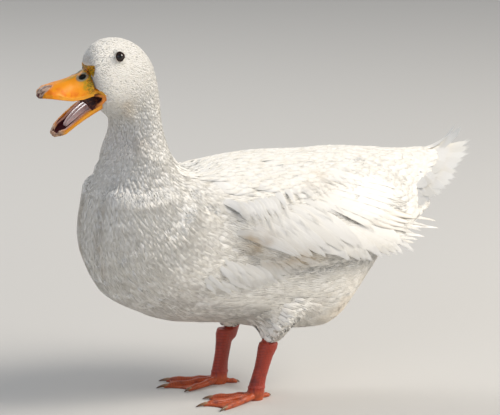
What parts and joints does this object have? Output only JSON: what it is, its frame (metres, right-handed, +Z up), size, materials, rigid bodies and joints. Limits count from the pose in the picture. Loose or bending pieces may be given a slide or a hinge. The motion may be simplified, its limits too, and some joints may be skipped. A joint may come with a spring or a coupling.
{
  "type": "duck",
  "caption": "Life-size white domestic duck, standing on both feet with its head turned a little and its bill open in a call.",
  "frame": {"origin": "on the floor, under the middle of the whole bird's box", "axes": "-X is where the body faces, -Y is the bird's left and +Z is up"},
  "size_m": [0.5544, 0.208, 0.4303],
  "materials": {
    "plumage": "soft white feathers",
    "bill": "satin orange horn and skin",
    "tongue": "wet pink",
    "eye": "glossy dark brown",
    "leg": "scaly orange-red skin"
  },
  "bodies": {
    "root": {"head": "plumage", "neck": "plumage", "trunk": "plumage", "tail": "plumage", "wing_left": "plumage", "wing_right": "plumage", "thigh_left": "plumage", "thigh_right": "plumage", "upper_bill": "bill", "lower_bill": "bill", "tongue": "tongue", "eye_left": "eye", "eye_right": "eye", "shank_left": "leg", "shank_right": "leg", "foot_left": "leg", "foot_right": "leg"}
  },
  "joints": []
}
